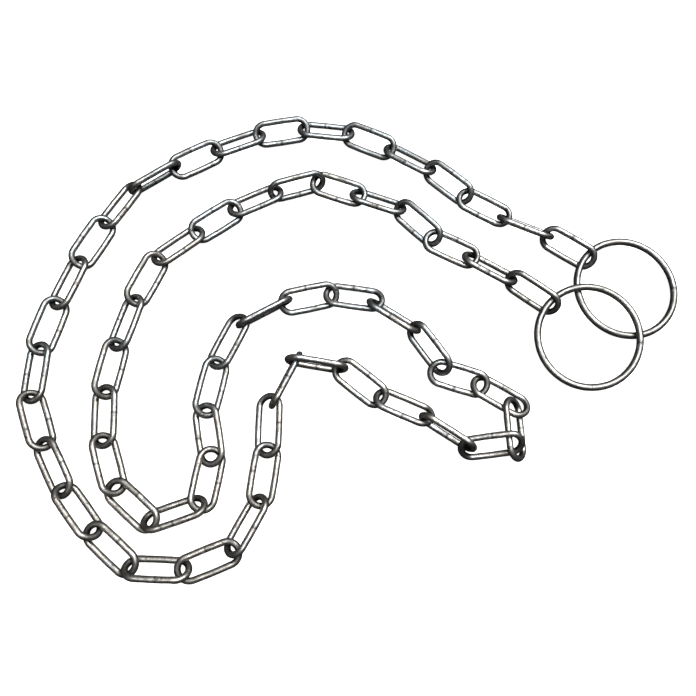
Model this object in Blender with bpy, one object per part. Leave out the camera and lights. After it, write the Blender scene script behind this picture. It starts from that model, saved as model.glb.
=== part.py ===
"""A length of long-link steel chain laid down loosely in a hairpin, with a round ring on each end.

Sixty welded oval links of 4 mm wire, each hooked through the next, run from ring A to ring B. Every
link is laid by the joint at each of its ends and by how far it leans, and is then seated: wires that
cross are pushed apart to a running gap, and each link comes down on the floor or on its neighbour.
"""

import math

import bpy
import numpy as np
from mathutils import Matrix

# The link: an oval of round wire, inner length (the pitch) 32 mm
WIRE = 0.004
PITCH = 0.032
LINK_WIDTH = 0.018

# The end rings: round wire, inner diameter 60 mm
RING_WIRE = 0.0045
RING_INNER = 0.060

# Space left between two wires that touch, and how far a ring sinks into the link it is one solid with
GAP = 0.0003
BITE = 0.0006

# How finely the wire is drawn: steps round each bow of a link, steps round a ring, and eight sides
BOW_STEPS = 6
RING_STEPS = 36
SIDES_SETTING = 2
HALF_SIDE_TURN = math.pi / 8

# Joints between the links in order from ring A to ring B, as floor places (x, y)
JOINTS = (
    (0.153, 0.206), (0.128, 0.219), (0.099, 0.230), (0.071, 0.243), (0.047, 0.263),
    (0.020, 0.278), (-0.010, 0.289), (-0.042, 0.290), (-0.071, 0.282), (-0.099, 0.268),
    (-0.125, 0.251), (-0.150, 0.233), (-0.164, 0.207), (-0.177, 0.178), (-0.185, 0.149),
    (-0.191, 0.118), (-0.190, 0.087), (-0.177, 0.060), (-0.159, 0.033), (-0.138, 0.011),
    (-0.114, -0.007), (-0.084, -0.006), (-0.057, 0.007), (-0.045, 0.035), (-0.043, 0.064),
    (-0.045, 0.094), (-0.033, 0.121), (-0.003, 0.119), (0.023, 0.101), (0.050, 0.091),
    (0.076, 0.075), (0.106, 0.079), (0.105, 0.103), (0.084, 0.115), (0.057, 0.122),
    (0.041, 0.147), (0.016, 0.165), (-0.014, 0.168), (-0.042, 0.159), (-0.068, 0.144),
    (-0.080, 0.117), (-0.084, 0.087), (-0.076, 0.059), (-0.079, 0.031), (-0.107, 0.019),
    (-0.130, 0.036), (-0.142, 0.064), (-0.146, 0.094), (-0.143, 0.125), (-0.137, 0.155),
    (-0.126, 0.185), (-0.104, 0.205), (-0.081, 0.224), (-0.056, 0.237), (-0.029, 0.247),
    (0.000, 0.240), (0.028, 0.232), (0.050, 0.211), (0.077, 0.200), (0.103, 0.186),
    (0.127, 0.171),
)

# Lean of each link in degrees: 0 lies flat, and a positive lean lifts the side on the left of the way
LEANS = (
    -40, 60, -2, -53, 39, -38, 28, -35, 31, -34, 78, 29, -40, 24, -43, 22, -46, 32, -52, 24,
    -48, 22, -50, 28, -26, -84, 91, 33, -33, 87, 50, 51, 31, -18, -59, 62, 7, -41, 80, 29,
    -40, 21, -31, 46, -18, 47, -22, 51, -35, 46, -28, 28, -26, 72, 5, -42, 54, 3, -48, 59,
)

# End rings: the place of the centre, the way towards the raised side and the tip off the floor in degrees
RING_A = (0.177, 0.187, 142, 3.9)
RING_B = (0.151, 0.151, 83, 7.7)

# Links that come down on others: how far their start and their end are lifted before they are let down
LIFTED = {26: (0, 0.005), 27: (0.007, 0.003), 28: (0.003, 0), 31: (0, 0.009), 32: (0.002, 0)}

# Links that aren't hooked together but lie close enough to touch
NEAR_PAIRS = ((26, 28), (31, 33))

# Seating: rounds, and how strongly each round draws a link down and back to its laid place and lean
ROUNDS = 1500
CLOSING_ROUNDS = 400
DROP = 0.00004
HOLD_PLACE = 0.03
HOLD_TURN = 0.3

# A push this far from a link's centre turns the link as much as it shifts it
SPIN_REACH = (PITCH + WIRE) / 3

# The pushes on one link are added up to this many, and past it they are averaged
MOST_PUSHES = 1.6

# Keeps a division by the length of nothing finite
TINY = 1e-16

ZINC = (0.50, 0.50, 0.48, 1.0)


def link_line():
    """The wire's centreline in the link's own frame: length along X, width along Y."""
    radius = (LINK_WIDTH - WIRE) / 2
    straight = (PITCH + WIRE) / 2 - radius
    turns = np.linspace(-np.pi / 2, np.pi / 2, BOW_STEPS + 1)
    bow = np.stack([straight + radius * np.cos(turns), radius * np.sin(turns), 0 * turns], axis=1)
    return np.concatenate([bow, bow * (-1, -1, 1)])


def ring_line():
    """The ring's centreline, flat about its own centre."""
    radius = (RING_INNER + RING_WIRE) / 2
    turns = np.arange(RING_STEPS) * 2 * np.pi / RING_STEPS
    return np.stack([radius * np.cos(turns), radius * np.sin(turns), 0 * turns], axis=1)


def ring_pose(x, y, raised_way, tip):
    """A ring standing on the floor on one side, and tipped up on the other onto the wires it lies over."""
    radius = (RING_INNER + RING_WIRE) / 2
    turn = Matrix.Rotation(math.radians(raised_way), 3, "Z") @ Matrix.Rotation(-math.radians(tip), 3, "Y")
    return np.array([x, y, RING_WIRE / 2 + radius * math.sin(math.radians(tip))]), np.array(turn)


def laid_poses():
    """Each link's centre and turn as laid: between its joints, along them, leaning, its low side down."""
    radius = (LINK_WIDTH - WIRE) / 2
    leans = np.radians(LEANS)
    heights = np.abs(np.sin(leans)) * radius + WIRE / 2
    joint_heights = np.concatenate([heights[:1], (heights[1:] + heights[:-1]) / 2, heights[-1:]])
    joints = np.column_stack([np.array(JOINTS), joint_heights])
    starts, ends = joints[:-1].copy(), joints[1:].copy()
    for link, lifts in LIFTED.items():
        starts[link - 1, 2] += lifts[0]
        ends[link - 1, 2] += lifts[1]
    centres = (starts + ends) / 2
    along = ends - starts
    along /= np.linalg.norm(along, axis=1)[:, None]
    left = np.cross((0.0, 0.0, 1.0), along)
    left /= np.linalg.norm(left, axis=1)[:, None]
    up = np.cross(along, left)
    across = np.cos(leans)[:, None] * left + np.sin(leans)[:, None] * up
    return centres, np.stack([along, across, np.cross(along, across)], axis=2)


def nearest(start_a, run_a, start_b, run_b):
    """The nearest points of straight pieces a and b, every one of a against every one of b."""
    start_a, run_a = start_a[..., :, None, :], run_a[..., :, None, :]
    start_b, run_b = start_b[..., None, :, :], run_b[..., None, :, :]
    between = start_a - start_b
    aa = (run_a * run_a).sum(-1)
    bb = (run_b * run_b).sum(-1)
    ab = (run_a * run_b).sum(-1)
    ac = (run_a * between).sum(-1)
    bc = (run_b * between).sum(-1)
    spread = np.maximum(aa * bb - ab * ab, TINY)
    part_a = np.clip((ab * bc - bb * ac) / spread, 0, 1)
    part_b = np.clip((ab * part_a + bc) / bb, 0, 1)
    part_a = np.clip((ab * part_b - ac) / aa, 0, 1)
    return start_a + part_a[..., None] * run_a, start_b + part_b[..., None] * run_b


def small_turn(angles):
    """A turn matrix for each small rotation vector."""
    size = np.linalg.norm(angles, axis=1)
    axis = angles / np.maximum(size, TINY)[:, None]
    x, y, z = axis.T
    zero = 0 * x
    cross = np.stack([zero, -z, y, z, zero, -x, -y, x, zero], axis=1).reshape(-1, 3, 3)
    sine, cosine = np.sin(size)[:, None, None], np.cos(size)[:, None, None]
    return np.eye(3) + sine * cross + (1 - cosine) * cross @ cross


def push(moves, spins, hits, owner, points, centres, ways):
    """Adds each touch's push on its link: the shift, and the spin that an off-centre push gives."""
    arms = points - centres[owner]
    levers = np.cross(arms, ways)
    lever_squares = (levers * levers).sum(1) / SPIN_REACH**2
    share = 1 / (1 + lever_squares / np.maximum((ways * ways).sum(1), TINY))
    np.add.at(moves, owner, ways * share[:, None])
    np.add.at(spins, owner, levers / SPIN_REACH**2 * share[:, None])
    np.add.at(hits, owner, 1)


def seat(centres, turns, rings):
    """Pushes crossing wires apart and lets every link down, keeping it close to where it was laid."""
    shape = link_line()
    laid_centres, laid_turns = centres.copy(), turns.copy()
    count = len(centres)
    hooked = [(link, link + 1) for link in range(1, count)]
    first, second = np.array(hooked + list(NEAR_PAIRS)).T - 1
    ring_points = [centre + ring_line() @ turn.T for centre, turn in rings]
    ring_runs = [np.roll(points, -1, axis=0) - points for points in ring_points]
    for step in range(ROUNDS + CLOSING_ROUNDS):
        closing = step >= ROUNDS
        if not closing:
            fade = 1 - step / ROUNDS
            centres[:, :2] += HOLD_PLACE * fade * (laid_centres - centres)[:, :2]
            centres[:, 2] -= DROP
            lost = np.cross(turns, laid_turns, axis=1).sum(2) / 2
            turns = small_turn(HOLD_TURN * fade * lost) @ turns
        points = centres[:, None] + shape @ turns.transpose(0, 2, 1)
        runs = np.roll(points, -1, axis=1) - points
        moves, spins, hits = np.zeros((count, 3)), np.zeros((count, 3)), np.zeros(count)
        near_a, near_b = nearest(points[first], runs[first], points[second], runs[second])
        way = near_a - near_b
        distance = np.linalg.norm(way, axis=-1)
        short = WIRE + GAP - distance
        pair, piece_a, piece_b = np.nonzero(short > 0)
        picked = pair, piece_a, piece_b
        ways = way[picked] * (short[picked] / distance[picked] / 2)[:, None]
        push(moves, spins, hits, first[pair], near_a[picked], centres, ways)
        push(moves, spins, hits, second[pair], near_b[picked], centres, -ways)
        for link, ring, ring_run in zip((0, count - 1), ring_points, ring_runs):
            near_a, near_b = nearest(points[link], runs[link], ring, ring_run)
            way = near_a - near_b
            distance = np.linalg.norm(way, axis=-1)
            short = (WIRE + RING_WIRE) / 2 - BITE - distance
            picked = np.nonzero(short > 0)
            ways = way[picked] * (short[picked] / distance[picked])[:, None]
            owner = np.full(len(ways), link)
            push(moves, spins, hits, owner, near_a[picked], centres, ways)
        owner, corner = np.nonzero(points[:, :, 2] < WIRE / 2)
        ways = np.zeros((len(owner), 3))
        ways[:, 2] = WIRE / 2 - points[owner, corner, 2]
        push(moves, spins, hits, owner, points[owner, corner], centres, ways)
        weight = MOST_PUSHES / np.maximum(hits, MOST_PUSHES)[:, None]
        centres = centres + moves * weight
        turns = small_turn(spins * weight) @ turns
    return centres, turns


def clear_scene():
    for thing in list(bpy.data.objects):
        bpy.data.objects.remove(thing, do_unlink=True)


def zinc_material():
    """Dull grey zinc coating over steel."""
    material = bpy.data.materials.new("zinc_plated_steel")
    material.use_nodes = True
    shader = material.node_tree.nodes["Principled BSDF"]
    shader.inputs["Base Color"].default_value = ZINC
    shader.inputs["Metallic"].default_value = 1.0
    shader.inputs["Roughness"].default_value = 0.4
    return material


def wire_mesh(name, line, wire, material):
    """Round wire along a closed line, welded end to end, as one closed mesh with a flat side down."""
    curve = bpy.data.curves.new(name, "CURVE")
    curve.dimensions = "3D"
    curve.bevel_depth = wire / 2
    curve.bevel_resolution = SIDES_SETTING
    spline = curve.splines.new("POLY")
    spline.points.add(len(line) - 1)
    for point, place in zip(spline.points, line):
        point.co = (*place, 1.0)
        point.tilt = HALF_SIDE_TURN
    spline.use_cyclic_u = True
    guide = bpy.data.objects.new(name, curve)
    mesh = bpy.data.meshes.new_from_object(guide)
    bpy.data.objects.remove(guide)
    mesh.name = name
    mesh.materials.clear()
    mesh.materials.append(material)
    mesh.shade_smooth()
    return mesh


def placed(name, mesh, pose, chain):
    """One object of this mesh at its pose, held by the chain's empty."""
    thing = bpy.data.objects.new(name, mesh)
    bpy.context.scene.collection.objects.link(thing)
    centre, turn = pose
    thing.parent = chain
    thing.matrix_local = Matrix.Translation(centre) @ Matrix(turn.tolist()).to_4x4()
    return thing


def fuse(ring, link):
    """Makes the ring and the link hooked through it one solid. The link stays as a hidden guide."""
    link.hide_render = True
    link.display_type = "WIRE"
    union = ring.modifiers.new("with_link", "BOOLEAN")
    union.operation = "UNION"
    union.object = link


def middle_of(poses, rings):
    """The middle of the whole length's box on the floor."""
    wires = [(centre + link_line() @ turn.T, WIRE / 2) for centre, turn in poses]
    wires += [(centre + ring_line() @ turn.T, RING_WIRE / 2) for centre, turn in rings]
    lowest = np.min([points.min(axis=0) - reach for points, reach in wires], axis=0)
    highest = np.max([points.max(axis=0) + reach for points, reach in wires], axis=0)
    return (lowest + highest) / 2


def build():
    clear_scene()
    rings = ring_pose(*RING_A), ring_pose(*RING_B)
    centres, turns = seat(*laid_poses(), rings)
    poses = list(zip(centres, turns))
    chain = bpy.data.objects.new("chain", None)
    bpy.context.scene.collection.objects.link(chain)
    x, y, _ = middle_of(poses, rings)
    chain.location = (-x, -y, 0)
    zinc = zinc_material()
    link_mesh = wire_mesh("link", link_line(), WIRE, zinc)
    ring_mesh = wire_mesh("ring", ring_line(), RING_WIRE, zinc)
    links = []
    for number, pose in enumerate(poses, start=1):
        links.append(placed(f"link_{number:02d}", link_mesh, pose, chain))
    ring_a = placed("ring_a_with_link_01", ring_mesh, rings[0], chain)
    ring_b = placed("ring_b_with_link_60", ring_mesh, rings[1], chain)
    fuse(ring_a, links[0])
    fuse(ring_b, links[-1])


build()
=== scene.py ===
import math

import bpy
import numpy as np
from mathutils import Euler, Matrix, Vector


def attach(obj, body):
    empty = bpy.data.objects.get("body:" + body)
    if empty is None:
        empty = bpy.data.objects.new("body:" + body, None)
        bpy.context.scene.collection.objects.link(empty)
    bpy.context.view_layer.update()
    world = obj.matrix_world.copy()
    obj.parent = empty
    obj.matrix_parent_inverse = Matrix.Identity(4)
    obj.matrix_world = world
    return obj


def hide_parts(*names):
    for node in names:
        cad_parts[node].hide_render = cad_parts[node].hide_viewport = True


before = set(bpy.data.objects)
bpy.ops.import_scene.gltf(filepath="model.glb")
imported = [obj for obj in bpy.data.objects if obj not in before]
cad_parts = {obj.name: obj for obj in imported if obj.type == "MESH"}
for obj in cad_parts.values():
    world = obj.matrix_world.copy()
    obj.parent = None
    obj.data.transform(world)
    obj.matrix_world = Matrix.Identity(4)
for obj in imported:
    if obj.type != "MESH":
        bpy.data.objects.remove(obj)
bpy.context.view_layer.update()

# Camera: the photograph was taken from close above the near side of the chain, tipped a little away
# from straight down and turned a few degrees. The place is in the chain's own frame.
CAMERA_PLACE = (-0.0065, -0.1405, 0.4222)
CAMERA_TIP = math.radians(17.5)
CAMERA_ROLL = math.radians(4.0)
CAMERA_LENS_MM = 36.2
CAMERA_SENSOR_MM = 36.0
CAMERA_NEAREST = 0.01

camera_data = bpy.data.cameras.new("camera")
camera_data.lens = CAMERA_LENS_MM
camera_data.sensor_width = CAMERA_SENSOR_MM
camera_data.clip_start = CAMERA_NEAREST
camera = bpy.data.objects.new("camera", camera_data)
bpy.context.scene.collection.objects.link(camera)
look = Vector((0, math.sin(CAMERA_TIP), -math.cos(CAMERA_TIP)))
level_up = Vector((0, math.cos(CAMERA_TIP), math.sin(CAMERA_TIP)))
level_right = Vector((1, 0, 0))
right = math.cos(CAMERA_ROLL) * level_right + math.sin(CAMERA_ROLL) * level_up
up = math.cos(CAMERA_ROLL) * level_up - math.sin(CAMERA_ROLL) * level_right
camera.matrix_world = Matrix.Translation(CAMERA_PLACE) @ Matrix((right, up, -look)).transposed().to_4x4()
bpy.context.scene.camera = camera


# Zinc: the thin coat on every link and ring. It is dull grey, a little warmer or cooler from place to place,
# with marks drawn out along the wire and small dark pits. It is darker underneath, as painted shade, and
# in the bows, where links rub, as wear and painted shade. The inner sides of the bows carry painted shade,
# the welds a dark line beside them, and the links near the rings painted shade that dims their highlights.
class Value:
    """A node socket that numbers and other sockets can be worked with in plain expressions."""

    def __init__(self, nodes, socket):
        self.nodes = nodes
        self.socket = socket

    def maths(self, operation, *others):
        return self.nodes.add("ShaderNodeMath", {"operation": operation}, self, *others)

    def __add__(self, other):
        return self.maths("ADD", other)

    def __sub__(self, other):
        return self.maths("SUBTRACT", other)

    def __rsub__(self, other):
        return self.nodes.add("ShaderNodeMath", {"operation": "SUBTRACT"}, other, self)

    def __mul__(self, other):
        return self.maths("MULTIPLY", other)

    def __truediv__(self, other):
        return self.maths("DIVIDE", other)

    def __abs__(self):
        return self.maths("ABSOLUTE")

    __radd__ = __add__
    __rmul__ = __mul__

    def step(self, start, end):
        """0 at start and 1 at end, with a soft change between."""
        settings = {"interpolation_type": "SMOOTHSTEP"}
        return self.nodes.add("ShaderNodeMapRange", settings, self, start, end, 0.0, 1.0)


class Nodes:
    """A node tree to which nodes are added by type, with their settings and the values of their sockets."""

    def __init__(self, tree):
        self.tree = tree
        tree.nodes.clear()

    def feed(self, socket, value):
        if isinstance(value, Value):
            self.tree.links.new(value.socket, socket)
        elif value is not None:
            socket.default_value = value

    def make(self, kind, settings=None, *values, **named):
        """The new node itself. Sockets are fed in order, and by name with _ for a space."""
        node = self.tree.nodes.new(kind)
        for setting, value in (settings or {}).items():
            setattr(node, setting, value)
        for socket, value in zip(node.inputs, values):
            self.feed(socket, value)
        for name, value in named.items():
            self.feed(node.inputs[name.replace("_", " ")], value)
        return node

    def add(self, kind, settings=None, *values, output=0, **named):
        """What the new node gives out."""
        node = self.make(kind, settings, *values, **named)
        return Value(self, node.outputs[output])

    def parts(self, vector):
        """The three numbers of a vector."""
        node = self.make("ShaderNodeSeparateXYZ", None, vector)
        return [Value(self, socket) for socket in node.outputs]

    def mix(self, share, plain, other):
        """Two colours mixed by a share from 0 to 1. A Mix node's colour sockets come after its other ones."""
        node = self.make("ShaderNodeMix", {"data_type": "RGBA", "clamp_factor": True}, share)
        self.feed(node.inputs[6], plain)
        self.feed(node.inputs[7], other)
        return Value(self, node.outputs[2])

    def noise(self, place, scale, detail, roughness):
        return self.add("ShaderNodeTexNoise", None, place, Scale=scale, Detail=detail, Roughness=roughness)

    def attribute(self, name, output="Fac"):
        """What a mesh carries under a name, read by a material."""
        return self.add("ShaderNodeAttribute", {"attribute_name": name}, output=output)


ZINC_CLOUD = (0.26, 0.245, 0.225, 1)
ZINC_PIT = (0.05, 0.05, 0.047, 1)
ZINC_RUBBED_AND_SHADED = (0.12, 0.12, 0.115, 1)
ZINC_UNDERSIDE_SHADE = (0.08, 0.073, 0.064, 1)
ZINC_BOW_SHADE = (0.03, 0.028, 0.025, 1)
ZINC_SHADE_NEAR_RINGS = (0.33, 0.335, 0.33, 1)
UNDER_GLOSS = 0.1

# The noise behind each kind of mark, as its scale to the metre, its detail and its roughness, and the values
# between which the mark comes in
TINT_NOISE = (45.0, 2.0, 0.5)
TINT_RISE_PER_M = 1.1
TINT_EDGES = (0.36, 0.64)
CLOUD_NOISE = (140.0, 4.0, 0.6)
CLOUD_EDGES = (0.42, 0.62)
SPECK_NOISE = (480.0, 3.0, 0.65)
SPECK_EDGES = (0.44, 0.60)
PIT_NOISE = (420.0, 2.0, 0.5)
PIT_EDGES = (0.62, 0.70)
GRAIN_NOISE = (800.0, 3.0, 0.6)

# The normal's height between which the painted underside shade comes in, and how far the grain frays that
# edge
UNDERSIDE_SHADE_EDGES = (0.35, -0.45)
UNDERSIDE_SHADE_FRAY = 0.25
# The rings' place, and the distances from it between which the painted shade near the rings fades in
RINGS_PLACE = (0.157, 0.027, 0.0)
SHADE_NEAR_RINGS_REACH = (0.13, 0.05)
# How much of the bows' darkening, wear and painted shade, is even, the rest following the clouds
RUBBED_AND_SHADED_EVENLY = 0.55

# How much of the plain colour each mark takes away
SHADE_NEAR_RINGS_SHARE = 0.75
CLOUD_SHARE = 0.45
SPECK_SHARE = 0.45
RUBBED_AND_SHADED_SHARE = 0.8
BOW_SHADE_SHARE = 0.85
NOTCH_SHARE = 0.85
PIT_SHARE = 0.7
UNDERSIDE_SHADE_SHARE = 0.6
UNDERSIDE_SHADE_DULLING = 0.6

ROUGH_PLAIN = 0.35
ROUGH_MARK = 0.08
ROUGH_WELD = 0.1
ROUGH_UNDER = 0.2
BUMP_STRENGTH = 0.35
BUMP_HEIGHT = 0.0001
PIT_DEPTH = 0.8


def zinc_coat(name, warm, cool):
    material = bpy.data.materials.new(name)
    material.use_nodes = True
    nodes = Nodes(material.node_tree)
    place = nodes.add("ShaderNodeTexCoord", output="Object")
    _, far_side, _ = nodes.parts(place)
    _, _, upward = nodes.parts(nodes.add("ShaderNodeNewGeometry", output="Normal"))
    measure = {"operation": "DISTANCE"}
    from_rings = nodes.add("ShaderNodeVectorMath", measure, place, RINGS_PLACE, output="Value")
    bow, weld, notch, inside = (nodes.attribute(mask) for mask in ("bow", "weld", "notch", "inside"))

    coolness = (nodes.noise(place, *TINT_NOISE) + TINT_RISE_PER_M * far_side).step(*TINT_EDGES)
    # Painted shade on the links near the rings, which dims the highlights there
    shade_near_rings = from_rings.step(*SHADE_NEAR_RINGS_REACH)
    clouds = nodes.noise(place, *CLOUD_NOISE).step(*CLOUD_EDGES)
    specks = nodes.noise(nodes.attribute("streaks", "Vector"), *SPECK_NOISE).step(*SPECK_EDGES)
    pits = nodes.noise(place, *PIT_NOISE).step(*PIT_EDGES)
    grain = nodes.noise(place, *GRAIN_NOISE)
    # Painted shade: the coat darkens and loses its metal sheen where the normal turns down, on the wires'
    # undersides and edges
    underside_shade = (upward + UNDERSIDE_SHADE_FRAY * (grain - 0.5)).step(*UNDERSIDE_SHADE_EDGES)
    # The bows: worn where links rub, and darkened as painted shade where the links crowd each other
    rubbed_and_shaded = bow * (RUBBED_AND_SHADED_EVENLY + (1 - RUBBED_AND_SHADED_EVENLY) * clouds)

    colour = nodes.mix(coolness, warm, cool)
    # painted shade near the rings
    colour = nodes.mix(shade_near_rings * SHADE_NEAR_RINGS_SHARE, colour, ZINC_SHADE_NEAR_RINGS)
    colour = nodes.mix(clouds * CLOUD_SHARE + specks * SPECK_SHARE, colour, ZINC_CLOUD)
    # wear and painted shade on the bows
    colour = nodes.mix(rubbed_and_shaded * RUBBED_AND_SHADED_SHARE, colour, ZINC_RUBBED_AND_SHADED)
    # Painted shade in the inner sides of the bows, where the links crowd together
    colour = nodes.mix(bow * inside * BOW_SHADE_SHARE, colour, ZINC_BOW_SHADE)
    colour = nodes.mix(notch * NOTCH_SHARE, colour, ZINC_PIT)
    colour = nodes.mix(pits * PIT_SHARE, colour, ZINC_PIT)
    # painted shade on the undersides
    colour = nodes.mix(underside_shade * UNDERSIDE_SHADE_SHARE, colour, ZINC_UNDERSIDE_SHADE)

    rough = ROUGH_PLAIN + ROUGH_MARK * (clouds + specks + rubbed_and_shaded) + ROUGH_WELD * weld + ROUGH_UNDER * underside_shade
    relief = grain + specks - PIT_DEPTH * pits
    shader = nodes.add(
        "ShaderNodeBsdfPrincipled",
        Base_Color=colour,
        Metallic=1 - UNDERSIDE_SHADE_DULLING * underside_shade,
        Roughness=rough,
        Normal=nodes.add("ShaderNodeBump", Strength=BUMP_STRENGTH, Distance=BUMP_HEIGHT, Height=relief),
        Specular_IOR_Level=UNDER_GLOSS,
    )
    nodes.make("ShaderNodeOutputMaterial", None, shader)
    return material


# Bent wire: every link and ring is one length of round steel wire, bent to a loop and closed by a weld that
# leaves a low bead with a dark line beside it. One node tree makes them, a loop on each point of a mesh.
WIRE_SIDES = 24
LEAST_LEG = 0.0001
BOW_FADE = 0.004
BEAD_EDGES = (1.6, 0.5)
NOTCH_PLACE = 0.7
NOTCH_EDGES = (0.5, 0.15)
INSIDE_EDGES = (0.1, 0.9)
DENT_NOISE = (260.0, 1.0, 0.5)
DENT_DEPTH = 0.00016
STREAK_SQUEEZE = 0.25
STREAK_LEG_SHIFT = 0.01


def stored(nodes, geometry, name, value, kind="FLOAT"):
    """The geometry with a value kept on its points, under a name that a material can read."""
    settings = {"data_type": kind, "domain": "POINT"}
    return nodes.add("GeometryNodeStoreNamedAttribute", settings, geometry, Name=name, Value=value)


def wire_loop_tree():
    """Round wire bent to an oval or a ring on each point, with a weld bead, then made real and dented."""
    tree = bpy.data.node_groups.new("wire_loops", "GeometryNodeTree")
    face = tree.interface
    face.new_socket("Points", in_out="INPUT", socket_type="NodeSocketGeometry")
    for name in ("Bend radius", "Half leg", "Leg bulge", "Wire radius", "Weld height", "Weld length"):
        face.new_socket(name, in_out="INPUT", socket_type="NodeSocketFloat")
    for name in ("Steps", "Sides"):
        face.new_socket(name, in_out="INPUT", socket_type="NodeSocketInt")
    face.new_socket("Coat", in_out="INPUT", socket_type="NodeSocketMaterial")
    face.new_socket("Loops", in_out="OUTPUT", socket_type="NodeSocketGeometry")

    nodes = Nodes(tree)
    given = nodes.make("NodeGroupInput")
    inputs = {socket.name: Value(nodes, socket) for socket in given.outputs if socket.name}
    radius, half_leg, wire = inputs["Bend radius"], inputs["Half leg"], inputs["Wire radius"]
    place = nodes.add("GeometryNodeInputPosition")
    along, across, above = nodes.parts(place)
    has_legs = half_leg.maths("GREATER_THAN", LEAST_LEG)

    # The middle line: a circle whose halves are drawn apart, with legs that bulge a little in their middles
    line = nodes.add("GeometryNodeCurvePrimitiveCircle", {"mode": "RADIUS"}, inputs["Steps"], Radius=radius)
    apart = nodes.add("ShaderNodeCombineXYZ", None, along.maths("SIGN") * half_leg)
    line = nodes.add("GeometryNodeSetPosition", None, line, Offset=apart)
    line = nodes.add("GeometryNodeResampleCurve", None, line, Count=inputs["Steps"])
    leg_share = (abs(along) / half_leg).maths("MINIMUM", 1.0)
    ease = 1 - leg_share * leg_share
    bulge = nodes.add("ShaderNodeCombineXYZ", Y=across.maths("SIGN") * inputs["Leg bulge"] * ease * ease)
    line = nodes.add("GeometryNodeSetPosition", None, line, Offset=bulge)

    # The bows, and the weld with its dark line, which are on the leg with the lower across
    bow = (abs(along) - half_leg).step(0.0, BOW_FADE) * has_legs
    welded_side = across.maths("LESS_THAN", 0.0)
    from_weld = along / inputs["Weld length"]
    weld = abs(from_weld).step(*BEAD_EDGES) * welded_side
    notch = abs(from_weld - NOTCH_PLACE).step(*NOTCH_EDGES) * welded_side
    for name, value in (("bow", bow), ("weld", weld), ("notch", notch)):
        line = stored(nodes, line, name, value)
    line = nodes.add("GeometryNodeSetCurveRadius", None, line, Radius=1 + inputs["Weld height"] * weld)
    section = nodes.add("GeometryNodeCurvePrimitiveCircle", {"mode": "RADIUS"}, inputs["Sides"], Radius=wire)
    loop = nodes.add("GeometryNodeCurveToMesh", None, line, section)

    # The inner side of the loop, and a place that is squeezed along the wire, so that marks there are long
    past_leg = (abs(along) - half_leg).maths("MAXIMUM", 0.0)
    from_bow = (past_leg * past_leg + across * across).maths("SQRT")
    loop = stored(nodes, loop, "inside", ((radius - from_bow) / wire).step(*INSIDE_EDGES))
    one_leg = has_legs * (across / wire).maths("MINIMUM", 1.0).maths("MAXIMUM", -1.0)
    leg_shift = one_leg * STREAK_LEG_SHIFT
    streaks = nodes.add("ShaderNodeCombineXYZ", None, along * STREAK_SQUEEZE, from_bow, above + leg_shift)
    loop = stored(nodes, loop, "streaks", streaks, "FLOAT_VECTOR")

    # A loop on each point, turned as the point says, with streaks of its own and then shallow dents
    angles = nodes.add("GeometryNodeInputNamedAttribute", {"data_type": "FLOAT_VECTOR"}, "turn")
    turn = nodes.add("FunctionNodeEulerToRotation", None, angles)
    loops = nodes.add("GeometryNodeInstanceOnPoints", None, inputs["Points"], Instance=loop, Rotation=turn)
    loops = nodes.add("GeometryNodeRealizeInstances", None, loops)
    streaks = nodes.add("GeometryNodeInputNamedAttribute", {"data_type": "FLOAT_VECTOR"}, "streaks")
    own_streaks = nodes.add("ShaderNodeVectorMath", {"operation": "ADD"}, streaks, angles)
    loops = stored(nodes, loops, "streaks", own_streaks, "FLOAT_VECTOR")
    dent = (nodes.noise(place, *DENT_NOISE) - 0.5) * DENT_DEPTH
    normal = nodes.add("GeometryNodeInputNormal")
    push = nodes.add("ShaderNodeVectorMath", {"operation": "SCALE"}, normal, Scale=dent)
    loops = nodes.add("GeometryNodeSetPosition", None, loops, Offset=push)
    loops = nodes.add("GeometryNodeSetShadeSmooth", None, loops)
    loops = nodes.add("GeometryNodeSetMaterial", None, loops, Material=inputs["Coat"])
    nodes.make("NodeGroupOutput", None, loops)
    return tree


WIRE_LOOPS = wire_loop_tree()


def wire_loops(name, poses, sizes):
    """A piece of one loop of wire for each pose, as a plain mesh."""
    points = bpy.data.meshes.new(name)
    points.from_pydata([list(middle) for middle, _ in poses], [], [])
    angles = [Matrix(turn.tolist()).to_euler() for _, turn in poses]
    turns = points.attributes.new("turn", "FLOAT_VECTOR", "POINT")
    turns.data.foreach_set("vector", np.array(angles, float).ravel())
    piece = bpy.data.objects.new(name, points)
    bpy.context.scene.collection.objects.link(piece)
    modifier = piece.modifiers.new("wire_loops", "NODES")
    modifier.node_group = WIRE_LOOPS
    for socket in WIRE_LOOPS.interface.items_tree:
        if socket.in_out == "INPUT" and socket.name in sizes:
            modifier[socket.identifier] = sizes[socket.name]
    shown = piece.evaluated_get(bpy.context.evaluated_depsgraph_get())
    mesh = bpy.data.meshes.new_from_object(shown)
    piece.modifiers.remove(modifier)
    piece.data = mesh
    mesh.name = name
    bpy.data.meshes.remove(points)
    return piece


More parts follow.
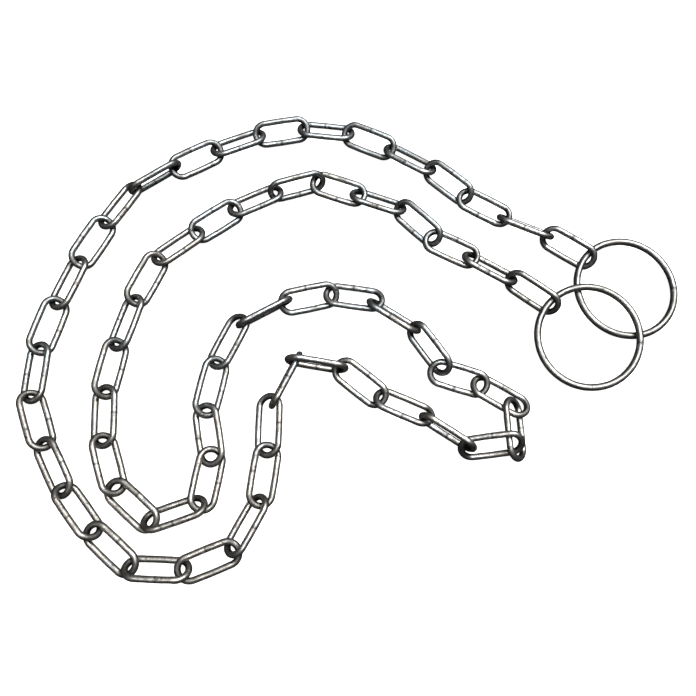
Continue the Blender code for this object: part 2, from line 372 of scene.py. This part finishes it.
# Rings: each is one length of 4.5 mm steel wire bent round and welded, and duller than the links. Ring A
# hangs in the first link and is tipped onto it. Ring B hangs in the last link and lies over ring A.
RING_WIRE = 0.0045
RING_INNER = 0.060
RING_BEND_RADIUS = (RING_INNER + RING_WIRE) / 2
RING_A = {"x": 0.1705, "y": 0.0452, "raised_way": 142, "tip": 3.9, "weld_way": 1}
RING_B = {"x": 0.1445, "y": 0.0092, "raised_way": 83, "tip": 7.7, "weld_way": -7}
RING_ZINC_WARM = (0.34, 0.335, 0.32, 1)
RING_ZINC_COOL = (0.32, 0.34, 0.345, 1)
RING_ZINC = zinc_coat("ring_zinc_coat", RING_ZINC_WARM, RING_ZINC_COOL)
RING_SIZES = {
    "Bend radius": RING_BEND_RADIUS,
    "Half leg": 0.0,
    "Leg bulge": 0.0,
    "Wire radius": RING_WIRE / 2,
    "Weld height": 0.14,
    "Weld length": 0.0026,
    "Steps": 224,
    "Sides": WIRE_SIDES,
    "Coat": RING_ZINC,
}


def ring_pose(x, y, raised_way, tip, weld_way):
    """The ring's middle and turn. Ways are in degrees from the x axis, and so is the tip from the floor."""
    raised = RING_BEND_RADIUS * math.sin(math.radians(tip))
    tipped = Matrix.Rotation(math.radians(raised_way), 3, "Z") @ Matrix.Rotation(-math.radians(tip), 3, "Y")
    spun = Matrix.Rotation(math.radians(weld_way - raised_way + 90), 3, "Z")
    return np.array([x, y, RING_WIRE / 2 + raised]), np.array(tipped @ spun)


ring_poses = {"ring_a_with_link_01": ring_pose(**RING_A), "ring_b_with_link_60": ring_pose(**RING_B)}
for name, (node, pose) in zip(("ring_a", "ring_b"), ring_poses.items()):
    ring = wire_loops(name, [pose], RING_SIZES)
    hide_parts(node)
    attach(ring, "root")


# Links: sixty ovals of 4 mm steel wire run from ring A to ring B, each bent round the last and welded in the
# middle of a leg. Each lies where its solid lies, with its weld on the leg that shows it in the photo. They
# are made as six pieces of ten links each.
WIRE = 0.004
PITCH = 0.032
LINK_WIDTH = 0.018
BEND_RADIUS = (LINK_WIDTH - WIRE) / 2
LINK_COUNT = 60
LINKS_IN_A_RUN = 10
LEFT_LEG_WELDED = (
    *(2, 3, 5, 8, 9, 12, 14, 15, 17, 18, 20, 22, 24, 28),
    *(31, 34, 36, 40, 41, 43, 44, 46, 49, 52, 58),
)
ZINC_WARM = (0.60, 0.575, 0.535, 1)
ZINC_COOL = (0.53, 0.58, 0.61, 1)
ZINC = zinc_coat("zinc_coat", ZINC_WARM, ZINC_COOL)
LINK_SIZES = {
    "Bend radius": BEND_RADIUS,
    "Half leg": (PITCH + WIRE) / 2 - BEND_RADIUS,
    "Leg bulge": 0.00015,
    "Wire radius": WIRE / 2,
    "Weld height": 0.13,
    "Weld length": 0.0016,
    "Steps": 112,
    "Sides": WIRE_SIDES,
    "Coat": ZINC,
}

# The shift and the turn in degrees that take each end link clear of the ring that its solid is fused with
EASED_OFF = {
    1: ((0.0002, -0.0003, 0.0001), (3.2, -1.8, -0.8)),
    LINK_COUNT: ((0.00005, -0.00005, 0.0003), (0.0, -1.3, 0.0)),
}
FIT_ROUNDS = 12
RING_SKIN = 0.0001


def corner_points(node):
    """Each corner of a node's solid once."""
    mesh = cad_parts[node].data
    flat = np.empty(len(mesh.vertices) * 3)
    mesh.vertices.foreach_get("co", flat)
    return np.unique(flat.reshape(-1, 3).round(6), axis=0)


def off_ring(points, pose):
    """The corners of a fused solid that belong to its link."""
    middle, turn = pose
    own = (points - middle) @ turn
    off = np.hypot(np.hypot(own[:, 0], own[:, 1]) - RING_BEND_RADIUS, own[:, 2])
    return points[off > RING_WIRE / 2 + RING_SKIN]


def own_axes(points):
    """The middle of a link, and its long and broad ways, from its corners."""
    middle = points.mean(axis=0)
    _, _, ways = np.linalg.svd(points - middle)
    return middle, ways[0], ways[1]


def turn_of(along, across):
    """The turn of a link from its long and broad ways."""
    return np.stack([along, across, np.cross(along, across)], axis=1)


def fitted(shape, points, middle, turn):
    """Brings a link's shape onto the corners that are left of it where it is fused with a ring."""
    for _ in range(FIT_ROUNDS):
        laid = middle + shape @ turn.T
        apart = np.linalg.norm(points[:, None] - laid[None], axis=2)
        chosen = apart.min(axis=1) < WIRE / 2
        own = shape[apart.argmin(axis=1)][chosen]
        seen = points[chosen]
        left, _, right_ways = np.linalg.svd((own - own.mean(axis=0)).T @ (seen - seen.mean(axis=0)))
        flip = np.diag((1, 1, np.sign(np.linalg.det(right_ways.T @ left.T))))
        turn = right_ways.T @ flip @ left.T
        middle = seen.mean(axis=0) - turn @ own.mean(axis=0)
    return middle, turn


def eased_off(number, middle, turn):
    """An end link's middle and turn, clear of its ring."""
    shift, degrees = EASED_OFF[number]
    spin = Euler([math.radians(angle) for angle in degrees]).to_matrix()
    return middle + np.array(shift), np.array(spin) @ turn


def link_poses():
    """Each link's middle and turn: along the chain, across it, and square to both."""
    plain = {number: corner_points(f"link_{number:02d}") for number in range(2, LINK_COUNT)}
    found = {number: own_axes(points) for number, points in plain.items()}
    middle, along, across = found[2]
    shape = (plain[2] - middle) @ turn_of(along, across)
    for number, node in zip((1, LINK_COUNT), ring_poses):
        points = off_ring(corner_points(node), ring_poses[node])
        middle, along, across = own_axes(points)
        middle, turn = eased_off(number, *fitted(shape, points, middle, turn_of(along, across)))
        found[number] = middle, turn[:, 0], turn[:, 1]
    poses = []
    for number in range(1, LINK_COUNT + 1):
        middle, along, across = found[number]
        forward = found[min(number + 1, LINK_COUNT)][0] - found[max(number - 1, 1)][0]
        along = along * np.sign(along @ forward)
        left = np.cross((0, 0, 1), along)
        across = across * np.sign(across @ left)
        if number in LEFT_LEG_WELDED:
            across = -across
        poses.append((middle, turn_of(along, across)))
    return poses


poses = link_poses()
for first in range(0, LINK_COUNT, LINKS_IN_A_RUN):
    last = first + LINKS_IN_A_RUN
    run = wire_loops(f"links_{first + 1:02d}_to_{last:02d}", poses[first:last], LINK_SIZES)
    numbers = range(max(first + 1, 2), min(last, LINK_COUNT - 1) + 1)
    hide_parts(*[f"link_{number:02d}" for number in numbers])
    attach(run, "root")


# Floor and backdrop: a pale sheet under the chain, and a pale shell far round it. Both glow to a plain
# white and are left out of the light and mirror rays, so that the wires get the lamps alone.
FLOOR_SIZE = 6.0
FLOOR_DROP = 0.0004
FLOOR_COLOUR = (0.93, 0.93, 0.92, 1)
FLOOR_ROUGHNESS = 0.9
FLOOR_GLOW = 1.05
BACKDROP_RADIUS = 9.0
BACKDROP_SEGMENTS = 64

bpy.ops.mesh.primitive_plane_add(size=FLOOR_SIZE, location=(0, 0, -FLOOR_DROP))
floor = bpy.context.object
floor.name = "floor"
floor_paint = bpy.data.materials.new("floor_paint")
floor_paint.use_nodes = True
floor_shader = floor_paint.node_tree.nodes["Principled BSDF"]
floor_shader.inputs["Base Color"].default_value = FLOOR_COLOUR
floor_shader.inputs["Roughness"].default_value = FLOOR_ROUGHNESS
floor_shader.inputs["Emission Color"].default_value = FLOOR_COLOUR
floor_shader.inputs["Emission Strength"].default_value = FLOOR_GLOW
bpy.ops.mesh.primitive_uv_sphere_add(
    segments=BACKDROP_SEGMENTS, ring_count=BACKDROP_SEGMENTS // 2, radius=BACKDROP_RADIUS
)
backdrop = bpy.context.object
backdrop.name = "backdrop"
for sheet in (floor, backdrop):
    sheet.data.materials.append(floor_paint)
    sheet.visible_diffuse = False
    sheet.visible_glossy = False
backdrop.visible_shadow = False


# Light: a soft box high on the far right, a second almost overhead, a broad weak one on the left, and a dim
# sky. They are the only light that the wires get. Places and sizes are in metres and powers in watts.
SOFT_BOXES = {
    "key_light": {"place": (0.95, 0.75, 2.2), "size": 0.9, "power": 62},
    "top_light": {"place": (0.1, -0.2, 2.4), "size": 1.0, "power": 30},
    "fill_light": {"place": (-1.5, -0.6, 2.4), "size": 2.4, "power": 5},
}
SKY_COLOUR = (0.9, 0.95, 1.0, 1)
SKY_STRENGTH = 0.022


def soft_box(name, place, size, power):
    light = bpy.data.lights.new(name, "AREA")
    light.shape = "SQUARE"
    light.size = size
    light.energy = power
    lamp = bpy.data.objects.new(name, light)
    bpy.context.scene.collection.objects.link(lamp)
    lamp.location = place
    lamp.rotation_euler = Vector(place).to_track_quat("Z", "Y").to_euler()


for name, facts in SOFT_BOXES.items():
    soft_box(name, **facts)
world = bpy.data.worlds.new("dim_sky")
world.use_nodes = True
world.node_tree.nodes["Background"].inputs["Color"].default_value = SKY_COLOUR
world.node_tree.nodes["Background"].inputs["Strength"].default_value = SKY_STRENGTH
bpy.context.scene.world = world
bpy.context.scene.view_settings.view_transform = "Standard"
